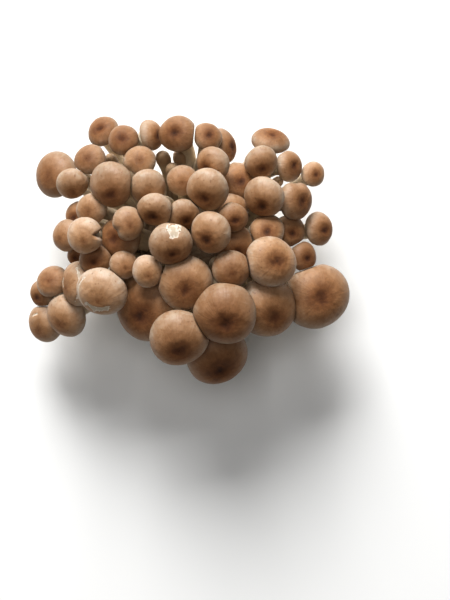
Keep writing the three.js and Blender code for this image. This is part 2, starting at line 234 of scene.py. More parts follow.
def fill_caps(placed):
    """Adds larger caps where there is room, from the middle outwards."""
    draw = seeded_stream(FILL_SEED)
    rows = list(placed)
    for _ in range(FILL_COUNT):
        across = FILL_ACROSS[0] + (FILL_ACROSS[1] - FILL_ACROSS[0]) * draw()
        deep = FILL_DEEP[0] + (FILL_DEEP[1] - FILL_DEEP[0]) * draw()
        tilt_x = FILL_TILT * (draw() - 0.5)
        tilt_y = FILL_TILT * (draw() - 0.5)
        best = None
        nearest = FILL_HALF_WIDTH
        for _ in range(FILL_TRIES):
            x = (2 * draw() - 1) * FILL_HALF_WIDTH
            y = FILL_FRONT - FILL_HALF_WIDTH * draw()
            distance = math.hypot(x, y)
            if distance >= nearest:
                continue
            if all(math.hypot(r[0] - x, r[1] - y) > FILL_SPACING * (r[2] + across) / 2 for r in rows):
                nearest = distance
                best = (x, y, across, deep, x * FILL_LEAN + tilt_x, y * FILL_LEAN + tilt_y)
        if best:
            rows.append(best)
    return rows


cap_rows = fill_caps(CAPS)
print(len(cap_rows) - len(CAPS), "caps by the rule")

# %% [markdown]
# ## The outline of one head
# A cap is a dome whose rim rolls in, with a dimple where it first swelled. Heights and radii are in
# cap radii, so one outline serves every cap. The dome is a superellipse: rounder at the shoulder
# than a circle, which gives the soft cushion shape of a young cap.

# %% Outline of a head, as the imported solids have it
CAP_RISE = 0.62
CAP_ROUNDNESS = 2.3
CAP_SHOULDER = 0.6
DIMPLE_DEPTH = 0.14
DIMPLE_RADIUS = 0.3
LIP = (0.93, -0.24)
LIP_INNER = (0.74, -0.14)
GILL_REACH = 0.78
GILL_TOP = -0.17
GILL_MIDDLE = (0.5, -0.4)
GILL_FOOT = -0.66
GILL_FOOT_RADIUS = 0.3
RIDGE = 0.07
DOME_RADII = (0.86, 0.6, 0.3)


def cap_top(r, dimple=1):
    """Height of the cap's top at a share of its radius, with more or less of a dimple."""
    dome = CAP_RISE * np.power(np.maximum(0, 1 - np.power(r, CAP_ROUNDNESS)), CAP_SHOULDER)
    return dome - DIMPLE_DEPTH * dimple * np.exp(-((r / DIMPLE_RADIUS) ** 2))


OUTLINE = [LIP_INNER, LIP, (1, 0)] + [(r, float(cap_top(r))) for r in DOME_RADII]
OUTLINE += [(GILL_MIDDLE[0], GILL_MIDDLE[1] - RIDGE), (GILL_FOOT_RADIUS, GILL_FOOT)]
print("a head is", round(CAP_RISE - LIP[1], 2), "of its radius high")

# %% [markdown]
# No two caps are alike. Some are paler or darker, some show no dimple, and on some it lies off the
# middle, because the cap swelled more on one side. The other caps get their tone from the draw.

# %% How single caps differ
# Caps 1, 3, 4 and 6 at the back edge are set dark, partly their own brown and partly painted shade.
TONES = {  # 0 is pale and 1 is dark, and past them it goes on
    1: 0.9, 3: 0.9, 4: 1.1, 6: 0.95, 10: 0.75, 11: 0.05, 13: 0.4, 14: 0.1,
    15: 0.2, 16: 0.4, 20: -1.2, 22: 0.3, 23: 0.15, 24: 1.2, 26: -1.2, 27: 0.4,
    31: 0.2, 38: -0.3, 39: 1.2, 41: -1.2, 45: 0, 50: 1, 52: 1.1,
}
PLAIN = {1, 2, 3, 9, 11, 12, 17, 18, 20, 21, 25, 26, 41, 42, 43, 45, 46, 47}  # no dimple shows
SPOT = (0.03, -0.24)  # where a dimple lies, to the right and to the back, in cap radii
SPOTS = {
    6: (0, -0.05), 10: (0.25, -0.5), 13: (-0.24, -0.3), 19: (-0.05, -0.05), 22: (0.1, -0.45),
    29: (0, 0.08), 31: (0.16, -0.3), 32: (0, 0), 38: (0.1, 0), 40: (0, -0.1),
}
print(len(TONES), "caps with a tone of their own and", len(PLAIN), "without a dimple")

# %% [markdown]
# Heads that are too close are eased apart until they only press on each other, as they do when they
# swell. Where two still meet, a plane between them says how far each can grow.

# %% Place the heads
CROWN_HEIGHT = 53
CROWN_FALL = 0.0075  # mm for each square mm from the middle
FULL_WIDTH = 1.07  # real width for the width that shows
TUCKED_WIDTH = 0.06  # more of it for each mm of depth
OVAL = 0.05
THREE_LOBED = 0.02
STEM_BASE_RADIUS = 0.9
STEM_SHARE = 0.27
OUTER_REACH = 45
STEM_STEPS = 3
LONG_STEM_STEPS = 5
PRESS = 0.88  # how close two centres come, as a share of both radii
SPREAD_PASSES = 40
SIDE_GIVE = 0.3  # caps ease up and down more than sideways
GAP = 0.3


class Head:
    """One cap with its place, the way it faces and its own slight wobble."""

    def __init__(self, row, index):
        x, y, shows, deep, lean_x, lean_y, notch_at, notch = (tuple(row) + (0, 0))[:8]
        draw = seeded_stream(index + 1)
        draw()
        self.name = f"cap_{index + 1:02d}"
        self.index = index
        self.radius = (shows / 2) * FULL_WIDTH * (1 + TUCKED_WIDTH * max(0, deep))
        height = CROWN_HEIGHT - CROWN_FALL * (x * x + y * y) - deep
        self.centre = np.array([x, y, height], float)
        self.axis = np.array([lean_x, lean_y, math.sqrt(1 - lean_x**2 - lean_y**2)])
        self.side = np.array([1.0, 0, 0]) - self.axis * self.axis[0]
        self.side /= norm(self.side)
        self.back = np.cross(self.axis, self.side)
        self.oval = OVAL * draw()
        self.oval_turn = math.pi * draw()
        self.lobes = THREE_LOBED * draw()
        self.lobe_turn = math.pi * draw()
        self.notch_at = notch_at
        self.notch = notch
        self.stem_radius = STEM_BASE_RADIUS + STEM_SHARE * self.radius
        self.steps = LONG_STEM_STEPS if math.hypot(x, y) > OUTER_REACH else STEM_STEPS
        self.tone = TONES.get(index + 1, draw())

    def reach(self, direction):
        """How far the head reaches from its centre in one direction."""
        along = float(self.axis @ direction)
        across = math.sqrt(max(0, 1 - along * along))
        return self.radius * max(z * along + r * across for r, z in OUTLINE)


def ease_apart(heads):
    """Moves crowded caps apart until they only press on each other."""
    for _ in range(SPREAD_PASSES):
        for i, one in enumerate(heads):
            for other in heads[i + 1:]:
                away = other.centre - one.centre
                distance = math.sqrt(float(away @ away))
                wanted = PRESS * (one.radius + other.radius)
                if distance >= wanted:
                    continue
                away = away * ((wanted - distance) / distance / 2)
                away[:2] *= SIDE_GIVE
                one.centre -= away
                other.centre += away


def press_planes(head, heads):
    """The planes at which a head is pressed flat by its neighbours, as (normal, offset)."""
    planes = []
    for other in heads:
        if other is head:
            continue
        towards = other.centre - head.centre
        distance = float(norm(towards))
        towards = towards / distance
        mine = head.reach(towards)
        theirs = other.reach(-towards)
        if mine + theirs + GAP <= distance:
            continue
        share = distance * mine / (mine + theirs) - GAP / 2
        planes.append((towards, float(towards @ head.centre) + share))
    return planes


heads = [Head(row, index) for index, row in enumerate(cap_rows)]
ease_apart(heads)
for head in heads:
    head.planes = press_planes(head, heads)
print("press contacts:", sum(len(h.planes) for h in heads) // 2)

# %% [markdown]
# ## Where the stems run
# A stem leaves the foot upright, bends out to its cap and meets it along the cap's own axis. It could
# be drawn by hand, but so many follow better from a rule: a curve with four control points, of which
# the inner two set the directions at the ends. Where another head is in the way, the stem is pushed
# round it, so that no stem passes through a head.

# %% Routes of the stems
STEM_SWELL = 1.12
STEM_TOP = -0.4
STEM_PULL = 0.4
ROOT_SPREAD = 0.46
ROOT_HEIGHT = 5
ROOT_MARGIN = 5.5
CLEAR_PASSES = 8
HEAD_SHARE = 0.9
FOOT_RADIUS = 26


def growth_curve(top, axis, steps):
    """Points on the curve from the foot to a top, upright at the root and along an axis at the top."""
    root = np.array([top[0], top[1], 0]) * ROOT_SPREAD
    length = float(norm(root))
    if length > FOOT_RADIUS - ROOT_MARGIN:
        root *= (FOOT_RADIUS - ROOT_MARGIN) / length
    root[2] = ROOT_HEIGHT
    pull = STEM_PULL * float(norm(top - root))
    corners = [root, root + np.array([0, 0, pull]), top - axis * pull, top]
    points = []
    for step in range(steps + 1):
        t = step / steps
        weights = ((1 - t) ** 3, 3 * t * (1 - t) ** 2, 3 * t * t * (1 - t), t**3)
        points.append(sum(w * c for w, c in zip(weights, corners)))
    return points


def stem_route(head, heads):
    """Points of a stem from the foot to its cap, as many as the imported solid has."""
    top = head.centre + head.axis * STEM_TOP * head.radius
    points = growth_curve(top, head.axis, head.steps)
    for _ in range(CLEAR_PASSES):
        for k in range(1, head.steps):
            for other in heads:
                if other is head:
                    continue
                away = points[k] - other.centre
                wanted = HEAD_SHARE * other.radius + head.stem_radius + GAP
                distance = float(norm(away))
                if distance < wanted:
                    points[k] = points[k] + away * (wanted / distance - 1)
    return np.array(points)


for head in heads:
    head.route = stem_route(head, heads)
stem_lengths = [norm(np.diff(head.route, axis=0), axis=1).sum() for head in heads]
print("longest stem", round(max(stem_lengths)), "mm")

# %% [markdown]
# ## Meshes from rings
# Caps, gills, stems and foot are all rings of points, one after the other, closed at both ends. One
# helper turns such rings into a smooth mesh. It also stores where each point lies on the piece, as
# attributes that the materials read: this is how a colour can follow the rim of a tilted cap.
# `place` is where a point lies on its cap or stem, `tone` how pale or dark it is, and `mark` where
# the skin is torn or a bud is brown.


# %% Ring mesh helpers
def ring_faces(rings, sides, first):
    """Faces of a closed body of rings, whose first point is an end's middle."""
    k = np.arange(sides)
    after = (k + 1) % sides
    start = first + 1
    faces = [np.stack([np.full(sides, first), start + after, start + k], 1)]
    for ring in range(rings - 1):
        low = start + ring * sides
        high = low + sides
        faces.append(np.stack([low + k, low + after, high + after, high + k], 1))
    last = start + (rings - 1) * sides
    end = last + sides
    faces.append(np.stack([np.full(sides, end), last + k, last + after], 1))
    return [tuple(face) for group in faces for face in group.tolist()]


class Body:
    """Gathers closed ring bodies for one piece, with their attributes."""

    def __init__(self):
        self.points = []
        self.faces = []
        self.place = []
        self.tone = []
        self.mark = []
        self.count = 0

    def add(self, first, rings, last, place_first, places, place_last, tone, mark=0.0):
        """Adds rings between two end points, with what the materials read."""
        rings = np.asarray(rings, float)
        number, sides = rings.shape[:2]
        self.faces += ring_faces(number, sides, self.count)
        self.points.append(np.vstack([[first], rings.reshape(-1, 3), [last]]))
        self.place.append(np.vstack([[place_first], np.reshape(places, (-1, 3)), [place_last]]))
        for kept, value in ((self.tone, tone), (self.mark, mark)):
            value = np.broadcast_to(value, (number, sides)).ravel()
            kept.append(np.concatenate([value[:1], value, value[-1:]]))
        self.count += number * sides + 2

    def piece(self, name, material):
        """The gathered bodies as one smooth object in metres."""
        mesh = bpy.data.meshes.new(name)
        points = np.vstack(self.points) * MM
        mesh.from_pydata(points.tolist(), [], self.faces)
        mesh.attributes.new("place", "FLOAT_VECTOR", "POINT").data.foreach_set(
            "vector", np.vstack(self.place).astype(np.float32).ravel()
        )
        for title, values in (("tone", self.tone), ("mark", self.mark)):
            mesh.attributes.new(title, "FLOAT", "POINT").data.foreach_set(
                "value", np.concatenate(values).astype(np.float32)
            )
        mesh.polygons.foreach_set("use_smooth", np.ones(len(mesh.polygons), bool))
        mesh.materials.append(material)
        mesh.update()
        made = bpy.data.objects.new(name, mesh)
        scene.collection.objects.link(made)
        return made


# %% [markdown]
# Nothing that grows is quite even. A few slow sine waves in all directions give soft lumps, and two
# caps that press on each other meet in a flat face with a rounded edge.

# %% Helpers for grown surfaces
WAVES = 6
WAVE_SIZES = (0.7, 1.4)  # how the sizes of the waves vary
WAVE_TURN = 6.28
SOFTNESS = 0.16  # mm, how round the edge of a pressed face is


def waves(points, size, seed, strength):
    """Slow lumps: a few sine waves of about one size, as an offset for each point."""
    rng = np.random.default_rng(seed)
    total = np.zeros(points.shape[:-1])
    for _ in range(WAVES):
        direction = rng.normal(size=3)
        direction /= norm(direction)
        phase = points @ direction * (2 * math.pi / size) * rng.uniform(*WAVE_SIZES)
        total += np.sin(phase + rng.uniform(0, WAVE_TURN))
    return total * strength / WAVES


def soft_press(points, planes):
    """Flattens what lies past each plane onto it, with a rounded edge."""
    for normal, offset in planes:
        past = points @ normal - offset
        points = points - np.logaddexp(0, past / SOFTNESS)[..., None] * SOFTNESS * normal
    return points


def head_points(head, r, z, angle):
    """Points of a head from radius and height in mm and an angle."""
    r = np.asarray(r)[..., None]
    z = np.asarray(z)[..., None]
    angle = np.asarray(angle)[..., None]
    return head.centre + head.axis * z + head.side * r * np.cos(angle) + head.back * r * np.sin(angle)


def turns(count):
    """Even angles all the way round."""
    return np.linspace(0, 2 * math.pi, count, endpoint=False)


def round_places(angle, along):
    """Where points of a round body lie: their direction from its axis, and how far along it."""
    return np.stack(np.broadcast_arrays(np.cos(angle)[None, :], np.sin(angle)[None, :], along), -1)


# %% [markdown]
# ## Node groups for the flesh
# Mushroom skin is never one colour. Four small groups make the masks for it: `mottle` gives soft
# watery patches, `fibres` fine lines along the flesh, `specks` small spots, and `marbling` winding
# veins. Each material mixes the masks into its own colours.


# %% Groups that make masks
def noise_mask_group(name, detail, roughness, low, high, distortion=0.0):
    """A group that turns a vector into a soft mask of noise between two levels."""
    group = bpy.data.node_groups.new(name, "ShaderNodeTree")
    group.interface.new_socket("Vector", in_out="INPUT", socket_type="NodeSocketVector")
    group.interface.new_socket("Scale", in_out="INPUT", socket_type="NodeSocketFloat")
    group.interface.new_socket("Mask", in_out="OUTPUT", socket_type="NodeSocketFloat")
    inside = group.nodes.new("NodeGroupInput")
    outside = group.nodes.new("NodeGroupOutput")
    noise = group.nodes.new("ShaderNodeTexNoise")
    noise.inputs["Detail"].default_value = detail
    noise.inputs["Roughness"].default_value = roughness
    noise.inputs["Distortion"].default_value = distortion
    spread = group.nodes.new("ShaderNodeMapRange")
    spread.inputs["From Min"].default_value = low
    spread.inputs["From Max"].default_value = high
    group.links.new(inside.outputs["Vector"], noise.inputs["Vector"])
    group.links.new(inside.outputs["Scale"], noise.inputs["Scale"])
    group.links.new(noise.outputs["Fac"], spread.inputs["Value"])
    group.links.new(spread.outputs["Result"], outside.inputs["Mask"])
    return group


MOTTLE = noise_mask_group("mottle", 4, 0.55, 0.35, 0.65, 0.4)
FIBRES = noise_mask_group("fibres", 3, 0.6, 0.35, 0.65)
SPECKS = noise_mask_group("specks", 1, 0.4, 0.68, 0.76)
MARBLING = noise_mask_group("marbling", 2, 0.5, 0.5, 0.6, 1.2)
print("node groups:", ", ".join(group.name for group in (MOTTLE, FIBRES, SPECKS, MARBLING)))

# %% [markdown]
# A material is a net of joined nodes. Written out in full it is long, so a helper adds a node and
# joins it in one call. The shader itself stays in the material.


# %% A material made of joined nodes
class Look:
    """A material's node tree, with short ways to add and join nodes."""

    def __init__(self, name):
        self.material = bpy.data.materials.new(name)
        self.material.use_nodes = True
        self.tree = self.material.node_tree
        self.shader = self.tree.nodes["Principled BSDF"]
        self.where = self.node("ShaderNodeTexCoord").outputs["Object"]

    def node(self, kind, **values):
        made = self.tree.nodes.new(kind)
        for key, value in values.items():
            setattr(made, key, value)
        return made

    def put(self, value, socket):
        """Sets a socket to a value, or joins another socket to it."""
        if isinstance(value, bpy.types.NodeSocket):
            self.tree.links.new(value, socket)
        else:
            socket.default_value = (*value, 1) if socket.type == "RGBA" else value

    def attribute(self, name, output):
        return self.node("ShaderNodeAttribute", attribute_name=name).outputs[output]

    def mask(self, group, vector, scale):
        made = self.node("ShaderNodeGroup", node_tree=group)
        made.inputs["Scale"].default_value = scale
        self.put(vector, made.inputs["Vector"])
        return made.outputs["Mask"]

    def maths(self, operation, one, other):
        made = self.node("ShaderNodeMath", operation=operation)
        self.put(one, made.inputs[0])
        self.put(other, made.inputs[1])
        return made.outputs[0]

    def mix(self, factor, one, other, blend="MIX"):
        made = self.node("ShaderNodeMix", data_type="RGBA", blend_type=blend)  # 6 and 7 are its colours
        self.put(factor, made.inputs[0])
        self.put(one, made.inputs[6])
        self.put(other, made.inputs[7])
        return made.outputs[2]

    def ramp(self, factor, stops):
        made = self.node("ShaderNodeValToRGB")
        ramp = made.color_ramp
        ramp.interpolation = "EASE"
        while len(ramp.elements) < len(stops):
            ramp.elements.new(0.5)
        for element, (position, colour) in zip(ramp.elements, stops):
            element.position = position
            element.color = (*colour, 1)
        self.put(factor, made.inputs[0])
        return made.outputs[0]

    def scaled(self, value, amount):
        return self.maths("MULTIPLY", value, amount)

    def spread(self, value, low, high, top=1.0):
        """What lies between two levels, brought to between 0 and a top."""
        made = self.node("ShaderNodeMapRange")
        made.inputs["From Min"].default_value = low
        made.inputs["From Max"].default_value = high
        made.inputs["To Max"].default_value = top
        self.put(value, made.inputs["Value"])
        return made.outputs[0]

    def surface(self, values):
        """Sets or joins inputs of the shader by name."""
        for name, value in values.items():
            self.put(value, self.shader.inputs[name])

    def bump(self, height, distance, strength):
        made = self.node("ShaderNodeBump")
        made.inputs["Strength"].default_value = strength
        made.inputs["Distance"].default_value = distance
        self.put(height, made.inputs["Height"])
        self.put(made.outputs[0], self.shader.inputs["Normal"])


# %% [markdown]
# ## The skin of the caps
# The skin is darkest in the dimple and grows paler towards the rim, where it is stretched thin. The
# dark middle is partly the cap's own colour and partly painted shade in the shallow dimple.
# Faint threads run out from the middle. The colour is worked out from `place`, which holds the
# distance from the dimple and the angle round it, so it follows each cap however it leans. A painted
# image would have to be unwrapped for every cap instead.

# %% Cap skin material
# The dark first stops are partly the cap's own colour and partly painted shade in the dimple.
SKIN_STOPS = [  # from the dimple to the rim
    (0.0, (0.05, 0.017, 0.005)),
    (0.11, (0.095, 0.034, 0.011)),
    (0.31, (0.19, 0.082, 0.03)),
    (0.56, (0.275, 0.14, 0.062)),
    (0.8, (0.325, 0.188, 0.1)),
    (0.94, (0.35, 0.23, 0.145)),
    (1.0, (0.36, 0.265, 0.185)),
]
look = Look("cap_skin")
place = look.attribute("place", "Vector")
tone = look.attribute("tone", "Fac")
flat = look.node("ShaderNodeVectorMath", operation="MULTIPLY")  # leaves out the height
flat.inputs[1].default_value = (1, 1, 0)
look.put(place, flat.inputs[0])
from_middle = look.node("ShaderNodeVectorMath", operation="LENGTH")
look.put(flat.outputs[0], from_middle.inputs[0])
from_middle = from_middle.outputs["Value"]
patches = look.mask(MOTTLE, look.where, 260)
wander = look.scaled(look.maths("SUBTRACT", patches, 0.5), 0.15)
skin = look.ramp(look.maths("ADD", from_middle, wander), SKIN_STOPS)
around = look.node("ShaderNodeVectorMath", operation="NORMALIZE")
look.put(flat.outputs[0], around.inputs[0])
threads = look.mask(FIBRES, around.outputs[0], 9)
fine = look.mask(MOTTLE, look.where, 900)
paleness = look.maths("SUBTRACT", 1, tone)
for mask, amount, tint in (
    (threads, 0.3, (0.74, 0.66, 0.58)),
    (patches, 0.6, (1.3, 1.3, 1.3)),
    (fine, 0.35, (0.82, 0.78, 0.74)),
    (tone, 0.45, (0.62, 0.5, 0.4)),
    (paleness, 0.5, (1.3, 1.4, 1.55)),
):
    skin = look.mix(look.scaled(mask, amount), skin, tint, "MULTIPLY")
print("skin colour from", len(SKIN_STOPS), "stops")

# %% [markdown]
# Small spots and a faint marbling near the middle keep the skin from looking painted. Where the
# skin is torn, the flesh shows: cream at the torn edge, greyer and dull inside it.

# %% Spots, marbling and torn places
SPOT_BROWN = (0.16, 0.07, 0.03)
VEIN_BROWN = (0.1, 0.04, 0.015)
TORN_EDGE = (0.68, 0.6, 0.5)
TORN_INSIDE = (0.5, 0.41, 0.31)

spots = look.mask(SPECKS, look.where, 900)
skin = look.mix(look.scaled(spots, 0.45), skin, SPOT_BROWN)
marbling = look.mask(MARBLING, look.where, 850)
inner = look.spread(from_middle, 0.85, 0.2, 0.3)
skin = look.mix(look.maths("MULTIPLY", marbling, inner), skin, VEIN_BROWN)
ragged = look.maths("SUBTRACT", look.mask(MOTTLE, look.where, 620), 0.5)
frayed = look.maths("ADD", look.attribute("mark", "Fac"), look.scaled(ragged, 0.7))
flesh = look.spread(frayed, 0.42, 0.5)
inside = look.spread(frayed, 0.6, 0.85)
skin = look.mix(flesh, skin, look.mix(inside, TORN_EDGE, TORN_INSIDE))

# %% [markdown]
# The skin is smooth and a little moist, so it shines softly, least in the dimple and where it is torn.
# The relief is only a tenth of a millimetre, just enough to break up the shine.

# %% Gloss and fine relief of the skin
matt = look.maths("ADD", look.scaled(patches, 0.14), 0.42)
matt = look.maths("ADD", look.scaled(flesh, 0.35), matt)
matt = look.maths("ADD", matt, inner)
look.surface({
    "Base Color": skin,
    "Roughness": matt,
    "Specular IOR Level": 0.35,
    "Subsurface Weight": 0.06,
    "Subsurface Radius": (1.0, 0.5, 0.25),
    "Subsurface Scale": 0.0012,
})
relief = look.maths("ADD", patches, look.scaled(threads, 0.6))
relief = look.maths("ADD", relief, look.scaled(fine, 0.4))
relief = look.maths("SUBTRACT", relief, look.scaled(flesh, 1.5))
look.bump(relief, 0.00012, 0.6)
skin_material = look.material
print("cap skin made of", len(look.tree.nodes), "nodes")

# %% [markdown]
# ## Cream flesh of stems and gills
# Stems are cream and matt, with fine lines along them. They are darker and browner at the root, deep
# in the bunch, partly as browner flesh and partly as painted shade for the dark inside of the bunch.
# The gills are made the same way, but are one pale cream with only faint lines.

# %% Flesh materials
LINE_BROWN = (0.55, 0.44, 0.32)
STAIN_BROWN = (0.6, 0.47, 0.33)
BUD_BROWN = (0.42, 0.28, 0.17)
GILL_CREAM = (0.72, 0.62, 0.48)
HAIR_SCALE = 3.4  # how much finer the hairs are than the lines


def flesh_look(name, top, root, fibre_scale, fibre_strength):
    """Cream flesh that goes from one colour at the root to another at the top."""
    look = Look(name)
    spot = look.attribute("place", "Vector")
    rise = look.attribute("tone", "Fac")
    lines = look.mask(FIBRES, spot, fibre_scale)
    hairs = look.mask(FIBRES, spot, fibre_scale * HAIR_SCALE)
    lines = look.maths("ADD", look.scaled(lines, 0.6), look.scaled(hairs, 0.4))
    stains = look.mask(MOTTLE, look.where, 180)
    # From the root colour to the top colour; on the stems the dark root is partly painted shade.
    colour = look.mix(rise, root, top)
    colour = look.mix(look.scaled(lines, fibre_strength), colour, LINE_BROWN)
    colour = look.mix(look.scaled(stains, 0.12), colour, STAIN_BROWN)
    colour = look.mix(look.attribute("mark", "Fac"), colour, BUD_BROWN)
    look.surface({
        "Base Color": colour,
        "Roughness": 0.62,
        "Subsurface Weight": 0.08,
        "Subsurface Radius": (1.0, 0.8, 0.6),
        "Subsurface Scale": 0.002,
    })
    look.bump(lines, 0.00025, 0.7)
    return look.material


# The dark root colour of the stems is partly painted shade for the inside of the bunch.
stem_material = flesh_look("stem_flesh", (0.7, 0.58, 0.42), (0.3, 0.2, 0.12), 7, 0.42)
gill_material = flesh_look("gill_flesh", GILL_CREAM, GILL_CREAM, 3, 0.12)
print("2 flesh materials")

# %% [markdown]
# ## The caps
# Each cap is its own piece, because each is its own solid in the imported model. It is made of rings
# that follow an outline from the underside, round the rolled rim and up to the dimple. A sculpted ball
# could look the same, but rings know how far each point is from the dimple, which the colour needs.
# Seen from above it isn't quite round: a little oval, a little three-lobed, and a few have a notch.

# %% Outline of a fine cap
RIM = [(1, -0.06), (0.99, -0.135), (0.965, -0.2), (0.93, -0.24), (0.885, -0.235), (0.835, -0.2)]
UNDER = [(0.78, -0.155), (0.7, -0.125), (0.45, -0.11), (0.15, -0.1)]
DOME_STEPS = 24
TORN_STEPS = 44  # a torn cap needs finer rings
LAST_RING = 0.03  # radians from the middle
NOTCH_WIDTH = 0.32  # radians
SHARP_NOTCH = 0.3  # a deeper notch is a sharp split


def cap_outline(steps):
    """Outline points from the underside to the top, with the distance along the skin."""
    angles = np.linspace(math.pi / 2, LAST_RING, steps)
    top = [(math.sin(a), float(cap_top(math.sin(a), 0))) for a in angles]
    below = UNDER[::-1] + RIM[::-1]
    return np.array(below + top), np.array([2 - r for r, _ in below] + [r for r, _ in top])


def rim_share(head, angle):
    """How wide a cap is at an angle, as a share of its radius, without its notch."""
    oval = head.oval * np.cos(2 * (angle - head.oval_turn))
    return 1 + oval + head.lobes * np.cos(3 * (angle - head.lobe_turn))


def notch_share(head, angle):
    """Depth of a notch in the rim at an angle: a round bay, or a sharp split where it is deep."""
    off = np.abs(np.arctan2(np.sin(angle - head.notch_at), np.cos(angle - head.notch_at)))
    if head.notch > SHARP_NOTCH:
        return head.notch * np.maximum(0, 1 - off / NOTCH_WIDTH)
    return head.notch * np.exp(-((off / NOTCH_WIDTH) ** 2))


print("an outline has", len(cap_outline(DOME_STEPS)[0]), "points")

# %% [markdown]
# Some caps crack or chafe when the bunch is handled. A tear is an oval patch of skin, given by cap
# number as angle, share of the radius, half its size in each, and depth in mm. Its mask is 1 in the
# middle and fades out to the edge. The surface sinks by it, and the material shows flesh there.

# %% Tears in the skin
TEARS = {
    22: [(1.35, 0.74, 0.42, 0.3, 0.4)],
    41: [(-1.7, 0.68, 0.95, 0.14, 0.8), (3.0, 0.86, 0.8, 0.04, 0.2)],
    42: [(0.1, 0.84, 1.2, 0.05, 0.25), (2.9, 0.32, 0.9, 0.07, 0.2)],
    46: [(2.0, 0.62, 0.35, 0.05, 0.3)],
}


def torn_share(head, angle, skin):
    """Where the skin of a cap is torn, from 0 to 1, and how deep in millimetres."""
    torn = np.zeros(np.broadcast(angle, skin).shape)
    depth = torn.copy()
    for at, share, half_angle, half_share, deep in TEARS.get(head.index + 1, []):
        off = np.arctan2(np.sin(angle - at), np.cos(angle - at)) / half_angle
        here = np.exp(-((off**2 + ((skin - share) / half_share) ** 2) ** 2))
        torn = np.maximum(torn, here)
        depth = np.maximum(depth, here * deep)
    return torn, depth


print(len(TEARS), "caps are torn")

# %% [markdown]
# A cap may lie close to another cap's stem, but not in it. Points that come too near to the straight
# parts of a stem's route are pushed off them. That is quick to work out, but a stem that bows off its
# route still enters a few deep caps, out of sight.

# %% Keep clear of stems
NEAR_STEM = 14  # mm from the rim: what lies further off is left out
STEM_ROOM = 1.05  # stem radii


def clear_of_stems(points, head):
    """Moves points off the straight parts of other heads' stem routes."""
    for other in heads:
        if other is head:
            continue
        for start, end in zip(other.route[:-1], other.route[1:]):
            if norm((start + end) / 2 - head.centre) > head.radius + NEAR_STEM:
                continue
            along = end - start
            share = np.clip((points - start) @ along / (along @ along), 0, 1)
            away = points - (start + share[..., None] * along)
            distance = norm(away, axis=-1)
            wanted = other.stem_radius * STEM_ROOM + GAP
            push = np.maximum(0, wanted - distance) / np.maximum(distance, 1e-6)
            points = points + away * push[..., None]
    return points


# %% [markdown]
# The dimple lies about its own spot, and `place` is measured from there, so the dark middle moves
# with it; that dark middle is partly painted shade in the dimple. A cap without a dimple gets no dark
# middle either. Slow waves and the flat faces where neighbours press keep the cap from looking turned
# on a lathe.

# %% Make the caps
CAP_SIDES = 72
CAP_SEED = 300
DIMPLES = (0.45, 0.85)  # how strong a dimple is, from weak to strong
PLAIN_DIMPLE = 0.15
PLAIN_MIDDLE = 0.3
NOTCH_FADE = 1.6  # how soon a notch fades out inwards
SWELL_SIZE, SWELL_HEIGHT, SWELL_SEED = 1.3, 0.022, 100  # size and height in cap radii
LUMP_SIZE, LUMP_HEIGHT, LUMP_SEED = 2.4, 0.07, 200  # size and height in mm


def make_cap(head):
    """The fine cap that stands for a packed one."""
    rng = np.random.default_rng(CAP_SEED + head.index)
    plain = head.index + 1 in PLAIN
    dimple = PLAIN_DIMPLE if plain else rng.uniform(*DIMPLES)
    outline, skin = cap_outline(TORN_STEPS if head.index + 1 in TEARS else DOME_STEPS)
    r, z, skin = outline[:, :1], outline[:, 1:], skin[:, None]
    angle = turns(CAP_SIDES)
    bay = notch_share(head, angle) * np.clip(1 - NOTCH_FADE * (1 - r), 0, 1)
    wide = r * rim_share(head, angle) * (1 - bay)

    spot = np.array(SPOTS.get(head.index + 1, SPOT))
    across = np.stack([skin * np.cos(angle), skin * np.sin(angle)], -1)
    from_spot = across - spot * np.maximum(0, 1 - skin**2)[..., None]
    away = norm(from_spot, axis=-1)
    high = z - DIMPLE_DEPTH * dimple * np.exp(-((away / DIMPLE_RADIUS) ** 2))
    points = head_points(head, wide * head.radius, high * head.radius, np.broadcast_to(angle, wide.shape))

    lumps = waves(points, head.radius * SWELL_SIZE, SWELL_SEED + head.index, SWELL_HEIGHT * head.radius)
    lumps = lumps + waves(points, LUMP_SIZE, LUMP_SEED + head.index, LUMP_HEIGHT)
    torn, depth = torn_share(head, angle[None, :], skin)
    outward = points - head.centre
    outward /= norm(outward, axis=-1)[..., None]
    points = points + outward * (lumps - depth)[..., None]
    points = clear_of_stems(soft_press(points, head.planes), head)

    if plain:
        paler = PLAIN_MIDDLE + (1 - PLAIN_MIDDLE) * away
        from_spot = from_spot * (paler / np.maximum(away, 0.01))[..., None]
    places = np.concatenate([from_spot, np.broadcast_to(z[..., None], (*wide.shape, 1))], -1)
    body = Body()
    under = points[0].mean(0)
    top = points[-1].mean(0)
    body.add(under, points, top, (1.95, 0, 0), places, places[-1].mean(0), head.tone, torn)
    cap = body.piece(head.name + "_skin", skin_material)
    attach(cap, "root")
    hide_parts(head.name)
    return cap


caps = [make_cap(head) for head in heads]
print(len(caps), "caps of", len(caps[0].data.polygons), "faces each")

# %% [markdown]
# ## The gills
# Under each cap thin blades run from the rim to the stem, and a little way down it. Made one by one
# they would need many more faces, so they are one sheet that waves down and up again round the axis,
# which is what shows from outside.

# %% Make the gills
BLADE_SPACING = 0.62  # mm
BLADES_AT = 0.6  # share of the radius where the spacing is measured
FEWEST_BLADES = 16
STEPS_PER_BLADE = 4
GILL_RINGS = 7
GILL_HOLD = 0.98  # stem radii, where the gills end on the stem
GILL_CLASP = 1.1  # and the least that they spread halfway


def bowed(start, middle, end, share):
    """Numbers from a start to an end that pass a middle one halfway."""
    pull = 2 * middle - (start + end) / 2
    return (1 - share) ** 2 * start + 2 * share * (1 - share) * pull + share**2 * end


